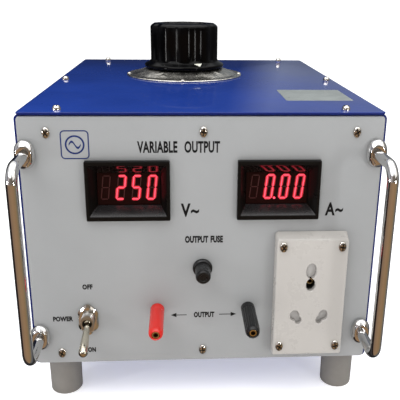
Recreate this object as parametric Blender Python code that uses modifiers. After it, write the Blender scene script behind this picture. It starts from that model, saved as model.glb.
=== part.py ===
"""Bench variable autotransformer in a sheet-metal case, as an assembly of separate pieces.

Metres, +Z up, +X to the right of someone facing the front panel, +Y to the back.
The origin is under the middle of the whole object, on the surface that the feet stand on.
"""
import math

import bmesh
import bpy
from mathutils import Matrix

# ---- Driving dimensions -------------------------------------------------------------------
CASE_WIDTH = 0.303
CASE_DEPTH = 0.380
CASE_HEIGHT = 0.2307
FOOT_HEIGHT = 0.0425
SHEET = 0.0016
FLANGE = 0.018
GAP = 0.0003

PANEL_THICKNESS = 0.0020
PANEL_MARGIN = 0.0020
LID_WIDTH = 0.2985
LID_THICKNESS = 0.0018
PANEL_TOP = CASE_HEIGHT - LID_THICKNESS - 0.0016

HANDLE_X = 0.144
HANDLE_HEIGHTS = (0.0287, 0.1964)
HANDLE_REACH = 0.046
HANDLE_ROD = 0.0046
HANDLE_BEND = 0.013
FERRULE_RADIUS = 0.0084
FERRULE_LENGTH = 0.0070

FOOT_RADIUS = 0.0150
FOOT_PLACES = {"left": -0.1300, "right": 0.1328}
FOOT_INSET = 0.028

REAR_PROUD = 0.004
FRONT_Y = (HANDLE_REACH + HANDLE_ROD - CASE_DEPTH - REAR_PROUD) / 2
CASE_BASE = FOOT_HEIGHT

METER_SIZE = (0.0697, 0.0517)
METER_PROUD = 0.005
METER_Z = 0.1650
METER_CENTRES = {"voltmeter": -0.0625, "ammeter": 0.0632}
METER_BODY = (0.0640, 0.0460, 0.052)
METER_WINDOW = (0.0529, 0.0283)
METER_WINDOW_DEPTH = 0.008
METER_WINDOW_DROP = 0.0015
METER_MOUTH = (0.0640, 0.0440)
METER_MOUTH_RISE = 0.0018

SWITCH_X = -0.1013
SWITCH_Z = 0.0455
SWITCH_TILT = math.radians(20)
LEVER_LENGTH = 0.037
SWITCH_PIVOT = 0.005

FUSE_X = -0.0004
FUSE_Z = 0.0935
FUSE_PROUD = 0.0205

POST_X = 0.0403
POST_Z = 0.0535
POST_REACH = 0.044
POST_RADIUS = 0.0062

SOCKET_X = 0.0938
SOCKET_LOW = 0.0090
SOCKET_SIZE = (0.0630, 0.1180, 0.0100)
SOCKET_CHAMFER = 0.0042
SOCKET_SCREWS = (0.0253, 0.0482)
EARTH_HOLES = ((0.0, 0.0250, 0.0046, 0.0073), (0.0, 0.0120, 0.0041, 0.0060))
LIVE_HOLES = ((0.0127, -0.0180, 0.0041, 0.0053), (0.0094, -0.0224, 0.0029, 0.0040))
SHUTTER_SIZE = (0.0360, 0.0146, 0.0015)
SHUTTER_MIDDLE = -0.0196
SOCKET_WALL = 0.0055
SOCKET_BODY = (0.0460, 0.0860)
SOCKET_BACK = -0.022

KNOB_X = -0.014
KNOB_DEPTH = 0.228
KNOB_RADIUS = 0.0385
KNOB_LIFT = 0.0098
SKIRT_RADIUS = 0.0450
SKIRT_HEIGHT = 0.0056
KNOB_TOP = 0.0572
DIAL_RADIUS = 0.0655
DIAL_RISE = 0.0085
BUSHING_RISE = 0.0060
SHAFT_RADIUS = 0.0050

CORE_OUTER = 0.073
CORE_INNER = 0.036
BASE_FLANGE_TOP = 0.010
WINDING_DROP = 0.006
CORE_LOW = BASE_FLANGE_TOP + GAP + WINDING_DROP
CORE_HIGH = CORE_LOW + 0.070
WINDING_SHELL = 0.005

LID_SCREWS = ((0.1184, 0.0095), (0.1410, 0.181), (0.1165, 0.368))
PANEL_SCREWS = ((-0.1265, 0.2140), (0.0, 0.2145), (0.1265, 0.2140), (-0.1265, 0.0115), (0.0, 0.0120))
SCREW_HEAD = 0.0034
SCREW_DOME = 0.0022
SCREW_SHANK = 0.0015
SCREW_LENGTH = 0.007
SCREW_HOLE = 0.0019

INLET_X = -0.085
INLET_Z = 0.060
INLET_FLANGE = (0.050, 0.030)
INLET_MOUTH = (0.0244, 0.0164)
INLET_DEPTH = 0.016

MERGE = 0.00001
RIM_STEPS = 28
SMALL_STEPS = 16

BLUE_PAINT = ("blue_paint", (0.035, 0.080, 0.350), 0.25, 0.0)
GREY_PAINT = ("grey_paint", (0.400, 0.410, 0.420), 0.45, 0.0)
CHROME = ("chrome", (0.800, 0.800, 0.820), 0.08, 1.0)
NICKEL = ("nickel", (0.620, 0.590, 0.520), 0.25, 1.0)
BRASS = ("brass", (0.700, 0.520, 0.250), 0.30, 1.0)
STEEL = ("steel", (0.500, 0.500, 0.500), 0.40, 1.0)
ALUMINIUM = ("aluminium", (0.650, 0.660, 0.670), 0.40, 1.0)
BLACK_PLASTIC = ("black_plastic", (0.012, 0.012, 0.013), 0.30, 0.0)
RED_PLASTIC = ("red_plastic", (0.640, 0.035, 0.025), 0.35, 0.0)
WHITE_PLASTIC = ("white_plastic", (0.620, 0.590, 0.550), 0.35, 0.0)
GREY_PLASTIC = ("grey_plastic", (0.240, 0.225, 0.205), 0.50, 0.0)
RED_FILTER = ("red_filter", (0.080, 0.005, 0.006), 0.10, 0.0)
COPPER = ("enamelled_copper", (0.450, 0.160, 0.060), 0.35, 0.6)
CORE_STEEL = ("core_steel", (0.120, 0.125, 0.140), 0.45, 0.8)
CARBON = ("carbon", (0.030, 0.030, 0.032), 0.60, 0.0)
GLASS = ("fuse_glass", (0.700, 0.760, 0.740), 0.05, 0.0)


# ---- Scene, materials and frames ----------------------------------------------------------
def clear_scene():
    """Remove every object so that the script can be run again."""
    for item in list(bpy.data.objects):
        bpy.data.objects.remove(item, do_unlink=True)


def make_collection(name):
    """Add a collection to the scene, or empty the one of that name."""
    old = bpy.data.collections.get(name)
    if old is not None:
        bpy.data.collections.remove(old)
    new = bpy.data.collections.new(name)
    bpy.context.scene.collection.children.link(new)
    return new


def get_material(finish):
    """Return the Principled material for a (name, colour, roughness, metallic) finish."""
    name, colour, roughness, metallic = finish
    material = bpy.data.materials.get(name)
    if material is None:
        material = bpy.data.materials.new(name)
        material.use_nodes = True
        shader = material.node_tree.nodes["Principled BSDF"]
        shader.inputs["Base Color"].default_value = (*colour, 1.0)
        shader.inputs["Roughness"].default_value = roughness
        shader.inputs["Metallic"].default_value = metallic
        material.diffuse_color = (*colour, 1.0)
    return material


def make_frame(name, location, rotation=(0.0, 0.0, 0.0), parent=None):
    """Add an empty that carries the pieces on one face of the case."""
    empty = bpy.data.objects.new(name, None)
    empty.location = location
    empty.rotation_euler = rotation
    empty.parent = parent
    PARTS.objects.link(empty)
    return empty


def place(name, mesh, finish, frame, location=(0.0, 0.0, 0.0), rotation=(0.0, 0.0, 0.0)):
    """Add a part, or a cutter where finish is None, at a location in a frame."""
    piece = bpy.data.objects.new(name, mesh)
    piece.parent = frame
    piece.location = location
    piece.rotation_euler = rotation
    if finish is None:
        CUTTERS.objects.link(piece)
        piece.hide_render = True
        piece.display_type = 'WIRE'
    else:
        PARTS.objects.link(piece)
        mesh.materials.clear()
        mesh.materials.append(get_material(finish))
    return piece


# ---- Mesh and modifier helpers ------------------------------------------------------------
def box_mesh(size, front_inset=(0.0, 0.0), front_shift=0.0):
    """Box centred on its origin; its +Z face is drawn in on each side, and shifted along Y."""
    work = bmesh.new()
    bmesh.ops.create_cube(work, size=1.0)
    for vertex in work.verts:
        is_front = vertex.co.z > 0
        inset = front_inset if is_front else (0.0, 0.0)
        vertex.co.x *= size[0] - 2 * inset[0]
        vertex.co.y *= size[1] - 2 * inset[1]
        vertex.co.y += front_shift if is_front else 0.0
        vertex.co.z *= size[2]
    mesh = bpy.data.meshes.new("box")
    work.to_mesh(mesh)
    work.free()
    return mesh


def rod_mesh(radius, length, steps=SMALL_STEPS):
    """Cylinder along Z from 0 to length."""
    work = bmesh.new()
    rise = Matrix.Translation((0.0, 0.0, length / 2))
    bmesh.ops.create_cone(work, cap_ends=True, segments=steps, radius1=radius, radius2=radius,
                          depth=length, matrix=rise)
    mesh = bpy.data.meshes.new("rod")
    work.to_mesh(mesh)
    work.free()
    mesh.shade_smooth()
    mesh.set_sharp_from_angle(angle=math.radians(40))
    return mesh


def profile_mesh(points, closed):
    """Edge chain of (radius, height) points for a Screw modifier."""
    mesh = bpy.data.meshes.new("profile")
    edges = [(index, index + 1) for index in range(len(points) - 1)]
    if closed:
        edges.append((len(points) - 1, 0))
    mesh.from_pydata([(radius, 0.0, height) for radius, height in points], edges, [])
    return mesh


def turned(name, points, finish, frame, location, steps=SMALL_STEPS, closed=False,
           rotation=(0.0, 0.0, 0.0)):
    """Turned part; points run down the outside, and back up the bore where closed."""
    piece = place(name, profile_mesh(points, closed), finish, frame, location, rotation)
    screw = piece.modifiers.new("turn", 'SCREW')
    screw.steps = steps
    screw.render_steps = steps
    screw.use_merge_vertices = True
    screw.merge_threshold = MERGE
    screw.use_smooth_shade = True
    return piece


def tube_profile(outer, inner, low, high, chamfer=0.0):
    """Closed profile of a plain ring with an outer chamfer on its upper edge."""
    points = [(outer, high - chamfer), (outer, low), (inner, low), (inner, high)]
    if chamfer:
        points.append((outer - chamfer, high))
    return points


def flat_mesh(outline, thickness):
    """Flat plate of a 2D outline, from z = 0 to its thickness."""
    curve = bpy.data.curves.new("outline", 'CURVE')
    curve.dimensions = '2D'
    curve.fill_mode = 'BOTH'
    curve.extrude = thickness / 2
    spline = curve.splines.new('POLY')
    spline.points.add(len(outline) - 1)
    for point, (x, y) in zip(spline.points, outline):
        point.co = (x, y, 0.0, 1.0)
    spline.use_cyclic_u = True
    return curve_mesh(curve, Matrix.Translation((0.0, 0.0, thickness / 2)))


def curve_mesh(curve, matrix):
    """Turn a curve into a welded mesh, moved by a matrix."""
    holder = bpy.data.objects.new("curve_holder", curve)
    bpy.context.scene.collection.objects.link(holder)
    graph = bpy.context.evaluated_depsgraph_get()
    mesh = bpy.data.meshes.new_from_object(holder.evaluated_get(graph))
    bpy.data.objects.remove(holder, do_unlink=True)
    bpy.data.curves.remove(curve)
    work = bmesh.new()
    work.from_mesh(mesh)
    bmesh.ops.remove_doubles(work, verts=work.verts, dist=MERGE)
    bmesh.ops.recalc_face_normals(work, faces=work.faces)
    bmesh.ops.transform(work, matrix=matrix, verts=work.verts)
    work.to_mesh(mesh)
    work.free()
    return mesh


def combine(piece, tool, operation):
    """Add an exact Boolean of a tool from the cutters collection."""
    modifier = piece.modifiers.new(operation.lower(), 'BOOLEAN')
    modifier.operation = operation
    modifier.object = tool
    modifier.solver = 'EXACT'


def cut_box(pieces, size, frame, location, front_inset=(0.0, 0.0)):
    """Cut a box out of each of the pieces."""
    cutter = place("cut_box", box_mesh(size, front_inset), None, frame, location)
    for piece in pieces:
        combine(piece, cutter, 'DIFFERENCE')


def cut_round(pieces, radius, depth, frame, location, steps=SMALL_STEPS, stretch=1.0):
    """Cut a round or oval hole through each of the pieces, centred on a location in depth."""
    x, y, z = location
    mesh = rod_mesh(radius, depth, steps)
    mesh.transform(Matrix.Diagonal((1.0, stretch, 1.0, 1.0)))
    cutter = place("cut_round", mesh, None, frame, (x, y, z - depth / 2))
    for piece in pieces:
        combine(piece, cutter, 'DIFFERENCE')


def add_box(piece, size, frame, location):
    """Join a box to a piece."""
    tool = place("join_box", box_mesh(size), None, frame, location)
    combine(piece, tool, 'UNION')


def bevel(piece, width, segments=1, angle=60):
    """Round the sharp edges of a piece."""
    modifier = piece.modifiers.new("bevel", 'BEVEL')
    modifier.width = width
    modifier.segments = segments
    modifier.limit_method = 'ANGLE'
    modifier.angle_limit = math.radians(angle)
    modifier.harden_normals = False


def rounded_rectangle(width, height, radius, steps=3):
    """Outline of a rectangle with round corners, centred on the origin."""
    outline = []
    corners = ((1, 1, 0), (-1, 1, 90), (-1, -1, 180), (1, -1, 270))
    for side_x, side_y, start in corners:
        centre_x = side_x * (width / 2 - radius)
        centre_y = side_y * (height / 2 - radius)
        for step in range(steps + 1):
            angle = math.radians(start + 90 * step / steps)
            outline.append((centre_x + radius * math.cos(angle), centre_y + radius * math.sin(angle)))
    return outline


def arc(centre, radius, start, end, steps):
    """Points of an arc in degrees, ends included."""
    points = []
    for step in range(steps + 1):
        angle = math.radians(start + (end - start) * step / steps)
        points.append((centre[0] + radius * math.cos(angle), centre[1] + radius * math.sin(angle)))
    return points


# ---- Case ---------------------------------------------------------------------------------
def build_shell():
    """Blue body: floor and two sides in one folded sheet, with flanges for panels and cover."""
    shell_height = CASE_HEIGHT - LID_THICKNESS - GAP
    shell_front = PANEL_THICKNESS + GAP
    shell_depth = CASE_DEPTH - 2 * shell_front
    middle_y = CASE_DEPTH / 2
    shell = place("main_shell", box_mesh((CASE_WIDTH, shell_depth, shell_height)), BLUE_PAINT,
                  CASE, (0.0, middle_y, shell_height / 2))
    bevel(shell, 0.003, 2, 30)
    inner = (CASE_WIDTH - 2 * SHEET, shell_depth - 2 * SHEET, shell_height - 2 * SHEET)
    cut_box([shell], inner, CASE, (0.0, middle_y, shell_height / 2))
    window_width = CASE_WIDTH - 2 * FLANGE
    window_height = shell_height - 2 * FLANGE
    cut_box([shell], (window_width, CASE_DEPTH * 2, window_height), CASE,
            (0.0, middle_y, shell_height / 2))
    strip_front = LID_SCREWS[0][1] + 0.012
    strip_back = CASE_DEPTH - FLANGE - shell_front
    cut_box([shell], (window_width, strip_back - strip_front, 0.020), CASE,
            (0.0, (strip_front + strip_back) / 2, shell_height))
    return shell


def build_cover():
    """Flat top cover with round corners, over the flanges of the body."""
    depth = CASE_DEPTH + 0.002
    outline = rounded_rectangle(LID_WIDTH, depth, 0.004)
    location = (0.0, CASE_DEPTH / 2, CASE_HEIGHT - LID_THICKNESS)
    cover = place("top_cover", flat_mesh(outline, LID_THICKNESS), BLUE_PAINT, CASE, location)
    cut_round([cover], 0.0095, 0.010, CASE, (KNOB_X, KNOB_DEPTH, CASE_HEIGHT), 24)
    return cover


def build_front_panel():
    """Grey front panel with the cut-outs of everything that it carries."""
    width = CASE_WIDTH - 2 * PANEL_MARGIN
    low = 0.0008
    outline = rounded_rectangle(width, PANEL_TOP - low, 0.0015, 1)
    panel = place("front_panel", flat_mesh(outline, PANEL_THICKNESS), GREY_PAINT, FRONT,
                  (0.0, (PANEL_TOP + low) / 2, -PANEL_THICKNESS))
    bevel(panel, 0.0008, 2)
    hole_depth = 0.010
    body_width, body_height, _ = METER_BODY
    for centre in METER_CENTRES.values():
        cut_box([panel], (body_width + 2 * GAP, body_height + 2 * GAP, hole_depth), FRONT,
                (centre, METER_Z, 0.0))
    cut_round([panel], 0.0063, hole_depth, FRONT, (SWITCH_X, SWITCH_Z, 0.0))
    cut_round([panel], 0.0067, hole_depth, FRONT, (FUSE_X, FUSE_Z, 0.0))
    for side in (-1, 1):
        cut_round([panel], 0.0038, hole_depth, FRONT, (side * POST_X, POST_Z, 0.0))
    socket_middle = SOCKET_LOW + SOCKET_SIZE[1] / 2
    socket_cut = (SOCKET_BODY[0] + 2 * GAP, SOCKET_BODY[1] + 2 * GAP, hole_depth)
    cut_box([panel], socket_cut, FRONT, (SOCKET_X, socket_middle, 0.0))
    return panel


def build_rear_panel():
    """Grey rear panel with rows of vents and the cut-out of the mains inlet."""
    width = CASE_WIDTH - 2 * PANEL_MARGIN
    low = 0.0008
    outline = rounded_rectangle(width, PANEL_TOP - low, 0.0015, 1)
    panel = place("rear_panel", flat_mesh(outline, PANEL_THICKNESS), GREY_PAINT, REAR,
                  (0.0, (PANEL_TOP + low) / 2, -PANEL_THICKNESS))
    cut_box([panel], (0.0312, 0.0242, 0.010), REAR, (INLET_X, INLET_Z, 0.0))
    slot_size = (0.040, 0.004, 0.010)
    slot_pitch = 0.012
    for column in (-1, 1):
        for row in range(6):
            cut_box([panel], slot_size, REAR, (column * 0.060, 0.120 + row * slot_pitch, 0.0))
    return panel


def build_feet():
    """Four moulded feet with a slight draft and a rounded lower edge."""
    top = FOOT_HEIGHT - GAP
    rows = {"front": FOOT_INSET, "rear": CASE_DEPTH - FOOT_INSET}
    profile = [(0.0, top), (FOOT_RADIUS, top), (FOOT_RADIUS - 0.0004, 0.010)]
    profile += [(FOOT_RADIUS - 0.0012, 0.002), (FOOT_RADIUS - 0.0032, 0.0), (0.0, 0.0)]
    for row, depth in rows.items():
        for side, x in FOOT_PLACES.items():
            turned(f"foot_{row}_{side}", profile, GREY_PLASTIC, CASE, (x, depth, -FOOT_HEIGHT), 24)


def build_handles():
    """Bent chrome rods on the front panel, each standing on two turned ferrules."""
    low, high = HANDLE_HEIGHTS
    reach = HANDLE_REACH
    bend = HANDLE_BEND
    path = [(GAP, low)]
    path += [(reach - bend + bend * math.sin(math.radians(angle)),
              low + bend - bend * math.cos(math.radians(angle))) for angle in range(0, 91, 15)]
    path += [(reach - bend + bend * math.cos(math.radians(angle)),
              high - bend + bend * math.sin(math.radians(angle))) for angle in range(0, 91, 15)]
    path.append((GAP, high))
    ring = tube_profile(FERRULE_RADIUS, HANDLE_ROD + GAP, GAP, FERRULE_LENGTH, 0.002)
    for side, sign in (("left", -1), ("right", 1)):
        curve = bpy.data.curves.new("handle_path", 'CURVE')
        curve.dimensions = '3D'
        curve.bevel_depth = HANDLE_ROD
        curve.bevel_resolution = 4
        curve.use_fill_caps = True
        spline = curve.splines.new('POLY')
        spline.points.add(len(path) - 1)
        for point, (outward, height) in zip(spline.points, path):
            point.co = (0.0, height, outward, 1.0)
        mesh = curve_mesh(curve, Matrix.Identity(4))
        mesh.shade_smooth()
        place(f"handle_{side}", mesh, CHROME, FRONT, (sign * HANDLE_X, 0.0, 0.0))
        for level, height in (("lower", low), ("upper", high)):
            turned(f"handle_ferrule_{side}_{level}", ring, CHROME, FRONT,
                   (sign * HANDLE_X, height, 0.0), 20, closed=True)


# ---- Fasteners ----------------------------------------------------------------------------
def screw_profile(length):
    """Round-headed screw with its head's underside just clear of the plate at z = 0."""
    head = [(0.0, GAP + SCREW_DOME), (SCREW_HEAD * 0.55, GAP + SCREW_DOME * 0.86)]
    head += [(SCREW_HEAD * 0.92, GAP + SCREW_DOME * 0.40), (SCREW_HEAD, GAP)]
    shank = [(SCREW_SHANK, GAP), (SCREW_SHANK, GAP - length), (0.0, GAP - length)]
    return head + shank


def add_screw(name, frame, location, length=SCREW_LENGTH):
    """Cross-recessed machine screw along +Z of a frame."""
    screw = turned(name, screw_profile(length), NICKEL, frame, location, 14)
    slot_depth = 0.0026
    for size in ((0.0038, 0.0007, slot_depth), (0.0007, 0.0038, slot_depth)):
        cut_box([screw], size, frame, (location[0], location[1], location[2] + SCREW_DOME + GAP))
    return screw


def build_case_screws(shell, cover, panel):
    """Six cover screws and five panel screws, each through a clearance hole into the body."""
    for side, sign in (("left", -1), ("right", 1)):
        for row, (x, depth) in zip(("front", "middle", "rear"), LID_SCREWS):
            place_on_lid = (sign * x, depth, CASE_HEIGHT)
            cut_round([shell, cover], SCREW_HOLE, 0.016, CASE, place_on_lid, 12)
            add_screw(f"cover_screw_{side}_{row}", CASE, place_on_lid)
    names = ("top_left", "top_middle", "top_right", "bottom_left", "bottom_middle")
    for name, (x, height) in zip(names, PANEL_SCREWS):
        cut_round([shell, panel], SCREW_HOLE, 0.016, FRONT, (x, height, 0.0), 12)
        add_screw(f"panel_screw_{name}", FRONT, (x, height, 0.0))


# ---- Panel meters -------------------------------------------------------------------------
def build_meter(name, centre):
    """Panel meter: bezel with a funnel-shaped mouth, and the display module in its pocket."""
    width, height = METER_SIZE
    body_width, body_height, body_depth = METER_BODY
    window_width, window_height = METER_WINDOW
    bezel_depth = METER_PROUD - GAP
    case = place(f"{name}_case", box_mesh((width, height, bezel_depth)), BLACK_PLASTIC, FRONT,
                 (centre, METER_Z, GAP + bezel_depth / 2))
    bevel(case, 0.0010, 1)
    add_box(case, (body_width, body_height, body_depth + 0.004), FRONT,
            (centre, METER_Z, 0.002 - body_depth / 2))
    mouth_depth = METER_PROUD + METER_WINDOW_DEPTH
    overshoot = 0.001
    window_z = METER_Z - METER_WINDOW_DROP
    flare = ((window_width - METER_MOUTH[0]) / 2, (window_height - METER_MOUTH[1]) / 2)
    funnel = box_mesh((window_width, window_height, mouth_depth + overshoot), flare, METER_MOUTH_RISE)
    cutter = place("cut_mouth", funnel, None, FRONT,
                   (centre, window_z, METER_PROUD - mouth_depth / 2 + overshoot / 2))
    combine(case, cutter, 'DIFFERENCE')
    module_depth = 0.012
    cut_box([case], (window_width + 2 * GAP, window_height + 2 * GAP, module_depth), FRONT,
            (centre, window_z, -METER_WINDOW_DEPTH - module_depth / 2 + 0.001))
    display_depth = module_depth - 0.001 - 2 * GAP
    place(f"{name}_display", box_mesh((window_width, window_height, display_depth)), RED_FILTER,
          FRONT, (centre, window_z, -METER_WINDOW_DEPTH - GAP - display_depth / 2))


# ---- Power switch -------------------------------------------------------------------------
def build_switch():
    """Toggle switch: body with its threaded bush, fixing nut, and bat lever on its pivot."""
    centre = (SWITCH_X, SWITCH_Z, 0.0)
    bush_radius = 0.0059
    bush_front = 0.0095
    bore = 0.0043
    body_top = -PANEL_THICKNESS - GAP
    body_depth = 0.026
    body = place("switch_body", box_mesh((0.018, 0.030, body_depth)), STEEL, FRONT,
                 (SWITCH_X, SWITCH_Z, body_top - body_depth / 2))
    bush = place("join_bush", rod_mesh(bush_radius, bush_front - body_top + 0.001, 20), None,
                 FRONT, (SWITCH_X, SWITCH_Z, body_top - 0.001))
    combine(body, bush, 'UNION')
    bore_depth = 0.016
    cut_round([body], bore, bore_depth, FRONT,
              (SWITCH_X, SWITCH_Z, bush_front + 0.001 - bore_depth / 2), 16)
    nut_outline = arc((0.0, 0.0), 0.0094, 30, 330, 5)
    nut = place("switch_nut", flat_mesh(nut_outline, 0.0032), NICKEL, FRONT,
                (SWITCH_X, SWITCH_Z, GAP))
    cut_round([nut], bush_radius + GAP, 0.012, FRONT, centre, 20)
    ball = 0.0036
    tip = 0.0035
    neck = 0.0018
    lever_profile = [(0.0, LEVER_LENGTH)]
    lever_profile += [(radius, height) for height, radius in arc((LEVER_LENGTH - tip, 0.0), tip, 30, 90, 2)]
    lever_profile += [(neck, 0.0050)]
    lever_profile += [(radius, height) for height, radius in arc((0.0, 0.0), ball, 45, 180, 4)]
    lever_profile[-1] = (0.0, -ball)
    turned("switch_lever", lever_profile, CHROME, FRONT, (SWITCH_X, SWITCH_Z, SWITCH_PIVOT), 16,
           rotation=(SWITCH_TILT, 0.0, 0.0))


# ---- Output fuse --------------------------------------------------------------------------
def build_fuse():
    """Panel fuse holder, its quarter-turn cap, and the carrier that draws the fuse out."""
    centre = (FUSE_X, FUSE_Z, 0.0)
    flange = 0.0086
    bore = 0.0052
    barrel = 0.0063
    back = -0.034
    holder = [(flange, 0.0022), (flange, GAP), (barrel, GAP), (barrel, back), (0.0, back)]
    holder += [(0.0, back + 0.004), (bore, back + 0.004), (bore, 0.0034), (flange - 0.0012, 0.0034)]
    turned("fuse_holder", holder, BLACK_PLASTIC, FRONT, centre, 20, closed=True)
    cap_low = 0.0037
    cap = 0.0066
    cap_profile = [(0.0, FUSE_PROUD), (cap - 0.0012, FUSE_PROUD), (cap, FUSE_PROUD - 0.0012)]
    cap_profile += [(cap, cap_low), (0.0, cap_low)]
    turned("fuse_cap", cap_profile, BLACK_PLASTIC, FRONT, centre, 20)
    stem = 0.0049
    clip_floor = -0.004
    clip_back = -0.012
    clip_bore = 0.0029
    carrier = [(0.0, cap_low - GAP), (stem, cap_low - GAP), (stem, clip_back), (clip_bore, clip_back)]
    carrier += [(clip_bore, clip_floor), (0.0, clip_floor)]
    turned("fuse_carrier", carrier, BLACK_PLASTIC, FRONT, centre, 16)
    link = 0.0026
    link_front = clip_floor - GAP
    link_profile = [(0.0, link_front), (link, link_front), (link, -0.0245), (0.0, -0.0245)]
    turned("fuse_link", link_profile, GLASS, FRONT, centre, 14)


# ---- Output terminals ---------------------------------------------------------------------
def build_post(name, side, finish):
    """Binding post: collar and hollow stud, threaded insert, and the cap that turns with it."""
    centre = (side * POST_X, POST_Z, 0.0)
    stud = 0.0032
    plug_bore = 0.0021
    collar = 0.0050
    front = POST_REACH - 0.0008
    plug_floor = 0.022
    base = [(stud, front), (stud, collar), (POST_RADIUS, collar), (POST_RADIUS, GAP)]
    base += [(0.0034, GAP), (0.0034, -0.018), (0.0, -0.018), (0.0, plug_floor)]
    base += [(plug_bore, plug_floor), (plug_bore, front)]
    turned(f"{name}_post_base", base, BRASS, FRONT, centre, 18, closed=True)
    insert = tube_profile(0.0050, stud + GAP, collar + 0.0012, POST_REACH - 0.006)
    turned(f"{name}_post_insert", insert, BRASS, FRONT, centre, 18, closed=True)
    cap_low = collar + GAP
    bore = 0.0050 + GAP
    mouth = stud + GAP
    step = POST_REACH - 0.006 + GAP
    cap = [(POST_RADIUS - 0.0022, POST_REACH), (POST_RADIUS - 0.0006, POST_REACH - 0.0008)]
    cap += [(POST_RADIUS, POST_REACH - 0.0026), (POST_RADIUS, cap_low), (bore, cap_low)]
    cap += [(bore, step), (mouth, step), (mouth, POST_REACH)]
    turned(f"{name}_post_cap", cap, finish, FRONT, centre, 20, closed=True)


# ---- Output socket ------------------------------------------------------------------------
def build_socket():
    """Three-pin socket: moulded plate and body, sprung shutter, and four fixing screws."""
    width, height, depth = SOCKET_SIZE
    middle = SOCKET_LOW + height / 2
    plate_depth = depth - GAP
    plate = place("socket_plate", box_mesh((width, height, plate_depth), (0.0006, SOCKET_CHAMFER)),
                  WHITE_PLASTIC, FRONT, (SOCKET_X, middle, GAP + plate_depth / 2))
    bevel(plate, 0.0008, 1, 12)
    add_box(plate, (*SOCKET_BODY, 0.002 - SOCKET_BACK), FRONT,
            (SOCKET_X, middle, (0.002 + SOCKET_BACK) / 2))
    room_depth = SOCKET_WALL - SOCKET_BACK + 0.001
    shutter_width, shutter_height, shutter_depth = SHUTTER_SIZE
    shutter_room = 2 * shutter_height + 0.0008
    shutter_room_middle = SHUTTER_MIDDLE + shutter_height / 2 + 0.0004 - shutter_room / 2
    for room_height, room_middle in ((0.0340, 0.0180), (shutter_room, shutter_room_middle)):
        cut_box([plate], (shutter_width + 0.0010, room_height, room_depth), FRONT,
                (SOCKET_X, middle + room_middle, SOCKET_WALL - room_depth / 2))
    for holes, sides in ((EARTH_HOLES, (1,)), (LIVE_HOLES, (-1, 1))):
        for x, y, half_width, half_height in holes:
            for side in sides:
                cut_round([plate], half_width, 0.012, FRONT, (SOCKET_X + side * x, middle + y, depth),
                          20, half_height / half_width)
    place("socket_shutter", box_mesh(SHUTTER_SIZE), GREY_PLASTIC, FRONT,
          (SOCKET_X, middle + SHUTTER_MIDDLE, SOCKET_WALL - GAP - shutter_depth / 2))
    across, up = SOCKET_SCREWS
    for row, sign_y in (("top", 1), ("bottom", -1)):
        for side, sign_x in (("left", -1), ("right", 1)):
            spot = (SOCKET_X + sign_x * across, middle + sign_y * up, depth)
            cut_round([plate], SCREW_HOLE, 0.030, FRONT, spot, 12)
            add_screw(f"socket_screw_{row}_{side}", FRONT, spot, 0.008)


# ---- Autotransformer and its control ------------------------------------------------------
def build_transformer():
    """Base casting, laminated ring core, winding over it, and the drive shaft's pieces."""
    axis = (KNOB_X, KNOB_DEPTH, 0.0)
    floor = SHEET + GAP
    tower = 0.020
    bore = SHAFT_RADIUS + GAP
    base = [(tower, 0.070), (tower, BASE_FLANGE_TOP), (CORE_OUTER + 0.010, BASE_FLANGE_TOP)]
    base += [(CORE_OUTER + 0.010, floor), (0.0, floor), (0.0, 0.012), (bore, 0.012), (bore, 0.070)]
    turned("transformer_base", base, ALUMINIUM, CASE, axis, RIM_STEPS, closed=True)
    core = tube_profile(CORE_OUTER, CORE_INNER, CORE_LOW, CORE_HIGH)
    turned("ring_core", core, CORE_STEEL, CASE, axis, RIM_STEPS, closed=True)
    out = CORE_OUTER + GAP
    inside = CORE_INNER - GAP
    top = CORE_HIGH + GAP
    low = CORE_LOW - WINDING_DROP
    winding = [(out + WINDING_SHELL, top), (out + WINDING_SHELL, low), (out, low), (out, top)]
    winding += [(inside, top), (inside, low), (inside - WINDING_SHELL, low)]
    winding += [(inside - WINDING_SHELL, top), (inside, top + WINDING_SHELL)]
    winding += [(out, top + WINDING_SHELL)]
    turned("winding", winding, COPPER, CASE, axis, RIM_STEPS, closed=True)

    shaft_low = 0.014
    shaft_high = CASE_HEIGHT + KNOB_TOP - 0.010
    shaft = [(0.0, shaft_high), (SHAFT_RADIUS, shaft_high), (SHAFT_RADIUS, shaft_low), (0.0, shaft_low)]
    turned("control_shaft", shaft, STEEL, CASE, axis, 16)
    lid_under = CASE_HEIGHT - LID_THICKNESS
    bushing = [(0.0090, CASE_HEIGHT + BUSHING_RISE), (0.0090, lid_under - GAP), (0.0150, lid_under - GAP)]
    bushing += [(0.0150, lid_under - 0.005), (bore, lid_under - 0.005), (bore, CASE_HEIGHT + BUSHING_RISE)]
    turned("shaft_bushing", bushing, BRASS, CASE, axis, 20, closed=True)

    arm_low = CORE_HIGH + WINDING_SHELL + 0.010
    arm_size = (0.016, 0.070, 0.005)
    hub = tube_profile(0.013, bore, arm_low, arm_low + 0.014)
    arm = turned("brush_arm", hub, ALUMINIUM, CASE, axis, 20, closed=True)
    add_box(arm, arm_size, CASE, (KNOB_X, KNOB_DEPTH - 0.0100 - arm_size[1] / 2, arm_low + 0.0035))
    brush_low = CORE_HIGH + WINDING_SHELL + 2 * GAP
    brush_high = arm_low + 0.001 - GAP
    place("carbon_brush", box_mesh((0.006, 0.014, brush_high - brush_low)), CARBON, CASE,
          (KNOB_X, KNOB_DEPTH - 0.060, (brush_low + brush_high) / 2))


def lobed_outline(radius, lobes, depth, steps):
    """Outline with shallow hollows between its lobes, one of which faces the front."""
    outline = []
    count = lobes * steps
    for index in range(count):
        angle = 2 * math.pi * index / count
        hollow = depth * (0.5 + 0.5 * math.cos(lobes * angle))
        outline.append(((radius - hollow) * math.cos(angle), (radius - hollow) * math.sin(angle)))
    return outline


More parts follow.
